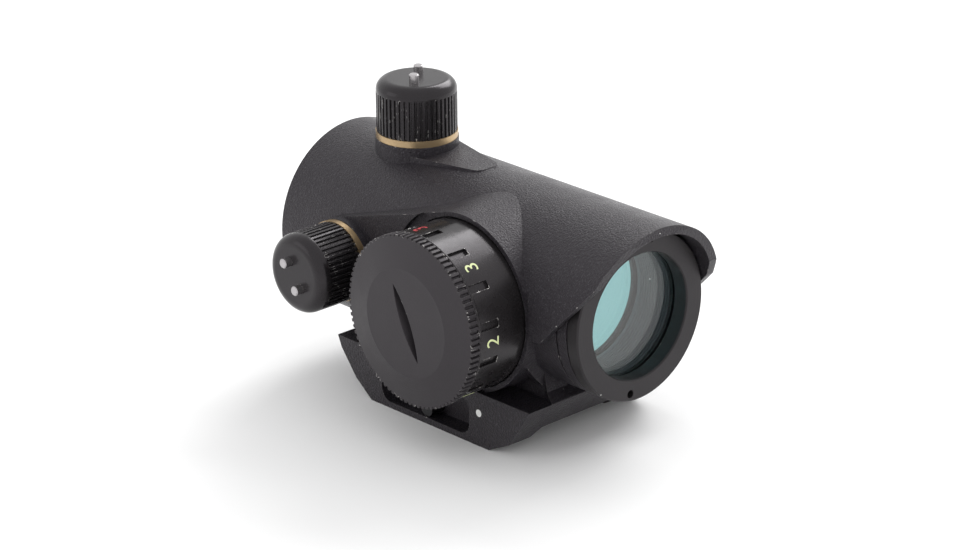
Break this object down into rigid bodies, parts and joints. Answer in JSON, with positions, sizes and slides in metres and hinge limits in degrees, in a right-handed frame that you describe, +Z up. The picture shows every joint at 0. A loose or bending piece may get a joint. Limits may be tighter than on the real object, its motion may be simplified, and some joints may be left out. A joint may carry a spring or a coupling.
{
  "type": "red dot sight",
  "caption": "Compact tube red dot sight with a hooded objective, capped windage and elevation turrets, a side brightness dial that holds the cell, and a low rail clamp.",
  "frame": {"origin": "centre of the rail seat's plane, the flat ceiling of the clamp's channel, between its two lands", "axes": "+Z up from the rail to the tube, +Y along the optical axis from the objective to the eyepiece, -X the side with the brightness dial and the windage turret"},
  "size_m": [0.0449, 0.0684, 0.05],
  "materials": {
    "body_black": "matte black hard anodised, fine bead blast",
    "bezel_black": "satin black anodised, turned",
    "window_glass": "clear coated glass",
    "coated_glass": "teal dichroic coating",
    "inner_black": "dull black anodised",
    "baffle_grey": "grooved dull grey",
    "dial_black": "satin to gloss black anodised",
    "battery_cap_grey": "satin dark grey anodised",
    "turret_black": "satin black anodised",
    "brass": "turned brass",
    "contact_bronze": "sprung bronze",
    "bright_steel": "bright steel",
    "spring_steel": "spring steel",
    "black_steel": "blackened steel",
    "seal_rubber": "black nitrile",
    "board_green": "green circuit board",
    "mask_black": "black foil",
    "led_red": "clear red lamp",
    "dot_white": "white paint"
  },
  "bodies": {
    "housing": {"housing": "body_black", "front_bezel": "bezel_black", "front_window": "window_glass", "front_window_seal": "seal_rubber", "front_baffle": "baffle_grey", "rear_bezel": "bezel_black", "rear_window": "window_glass", "rear_window_seal": "seal_rubber", "elevation_pivot_pins": "bright_steel", "return_spring": "spring_steel", "dial_post": "brass", "dial_screw": "black_steel", "switch_board": "board_green", "detent_ball": "bright_steel", "detent_spring": "spring_steel", "elevation_bushing": "brass", "windage_bushing": "brass", "elevation_clip": "spring_steel", "windage_clip": "spring_steel", "elevation_click_ball": "bright_steel", "windage_click_ball": "bright_steel", "elevation_click_spring": "spring_steel", "windage_click_spring": "spring_steel", "mount_base": "body_black", "mount_screws": "black_steel", "index_dot": "dot_white", "jaw_guide_pins": "bright_steel", "jaw_springs": "spring_steel"},
    "gimbal_ring": {"gimbal_ring": "inner_black", "windage_pivot_pins": "bright_steel"},
    "inner_tube": {"inner_tube": "inner_black", "objective_front": "coated_glass", "objective_rear": "coated_glass", "objective_retainer": "inner_black", "emitter_block": "inner_black", "emitter_mask": "mask_black", "emitter_led": "led_red", "emitter_board": "board_green"},
    "brightness_dial": {"brightness_dial": "dial_black", "wiper": "contact_bronze", "battery_contact": "contact_bronze"},
    "battery": {"battery": "bright_steel"},
    "battery_cap_seal": {"battery_cap_seal": "seal_rubber"},
    "battery_cap": {"battery_cap": "battery_cap_grey"},
    "clamp_jaw": {"clamp_jaw": "body_black"},
    "clamp_screw": {"clamp_screw": "black_steel"},
    "elevation_adjuster": {"elevation_adjuster": "brass"},
    "elevation_plunger": {"elevation_plunger": "black_steel"},
    "elevation_cap_seal": {"elevation_cap_seal": "seal_rubber"},
    "elevation_cap": {"elevation_cap": "turret_black", "elevation_cap_pins": "bright_steel"},
    "windage_adjuster": {"windage_adjuster": "brass"},
    "windage_plunger": {"windage_plunger": "black_steel"},
    "windage_cap_seal": {"windage_cap_seal": "seal_rubber"},
    "windage_cap": {"windage_cap": "turret_black", "windage_cap_pins": "bright_steel"}
  },
  "joints": [
    {"name": "brightness_turn", "type": "hinge", "parent": "housing", "child": "brightness_dial", "pos_m": [-0.0186, -0.0068, 0.01845], "axis": [-1, 0, 0], "continuous": true},
    {"name": "battery_cap_lift", "type": "slide", "parent": "brightness_dial", "child": "battery_cap_seal", "axis": [-1, 0, 0], "range_m": [0, 0.008]},
    {"name": "battery_cap_unscrew", "type": "hinge", "parent": "battery_cap_seal", "child": "battery_cap", "pos_m": [-0.0242, -0.0068, 0.01845], "axis": [-1, 0, 0], "range_deg": [0, 2880]},
    {"name": "battery_out", "type": "slide", "parent": "brightness_dial", "child": "battery", "axis": [-1, 0, 0], "range_m": [0, 0.004]},
    {"name": "elevation_cap_lift", "type": "slide", "parent": "housing", "child": "elevation_cap_seal", "axis": [0, 0, 1], "range_m": [0, 0.008]},
    {"name": "elevation_cap_unscrew", "type": "hinge", "parent": "elevation_cap_seal", "child": "elevation_cap", "pos_m": [0, 0.0187, 0.0409], "axis": [0, 0, 1], "range_deg": [0, 3600]},
    {"name": "elevation_plunge", "type": "slide", "parent": "housing", "child": "elevation_plunger", "axis": [0, 0, 1], "range_m": [-0.0005, 0.0005]},
    {"name": "elevation_turn", "type": "hinge", "parent": "housing", "child": "elevation_adjuster", "pos_m": [0, 0.0187, 0.0379], "axis": [0, 0, 1], "range_deg": [-360, 360]},
    {"name": "elevation_tilt", "type": "hinge", "parent": "housing", "child": "gimbal_ring", "pos_m": [0, -0.0117, 0.0189], "axis": [1, 0, 0], "range_deg": [-0.96, 0.96]},
    {"name": "windage_cap_lift", "type": "slide", "parent": "housing", "child": "windage_cap_seal", "axis": [-1, 0, 0], "range_m": [0, 0.008]},
    {"name": "windage_cap_unscrew", "type": "hinge", "parent": "windage_cap_seal", "child": "windage_cap", "pos_m": [-0.022, 0.0187, 0.0189], "axis": [-1, 0, 0], "range_deg": [0, 3600]},
    {"name": "windage_plunge", "type": "slide", "parent": "housing", "child": "windage_plunger", "axis": [-1, 0, 0], "range_m": [-0.0005, 0.0005]},
    {"name": "windage_turn", "type": "hinge", "parent": "housing", "child": "windage_adjuster", "pos_m": [-0.019, 0.0187, 0.0189], "axis": [-1, 0, 0], "range_deg": [-360, 360]},
    {"name": "windage_tilt", "type": "hinge", "parent": "gimbal_ring", "child": "inner_tube", "pos_m": [0, -0.0117, 0.0189], "axis": [0, 0, 1], "range_deg": [-0.96, 0.96]},
    {"name": "clamp_open", "type": "slide", "parent": "housing", "child": "clamp_jaw", "axis": [1, 0, 0], "range_m": [0, 0.0025]},
    {"name": "clamp_screw_turn", "type": "hinge", "parent": "clamp_jaw", "child": "clamp_screw", "pos_m": [0.0164, 0.00115, -0.00145], "axis": [1, 0, 0], "range_deg": [0, 2000]}
  ],
  "couplings": [
    {"joint": "battery_cap_unscrew", "follows": "battery_cap_lift", "rad_per_m": 6283.2},
    {"joint": "battery_out", "follows": "battery_cap_lift", "ratio": 0.5},
    {"joint": "elevation_cap_unscrew", "follows": "elevation_cap_lift", "rad_per_m": 7854},
    {"joint": "elevation_turn", "follows": "elevation_plunge", "rad_per_m": 12566},
    {"joint": "elevation_tilt", "follows": "elevation_plunge", "rad_per_m": 32.895},
    {"joint": "windage_cap_unscrew", "follows": "windage_cap_lift", "rad_per_m": 7854},
    {"joint": "windage_turn", "follows": "windage_plunge", "rad_per_m": 12566},
    {"joint": "windage_tilt", "follows": "windage_plunge", "rad_per_m": 32.895},
    {"joint": "clamp_screw_turn", "follows": "clamp_open", "rad_per_m": 13963}
  ]
}
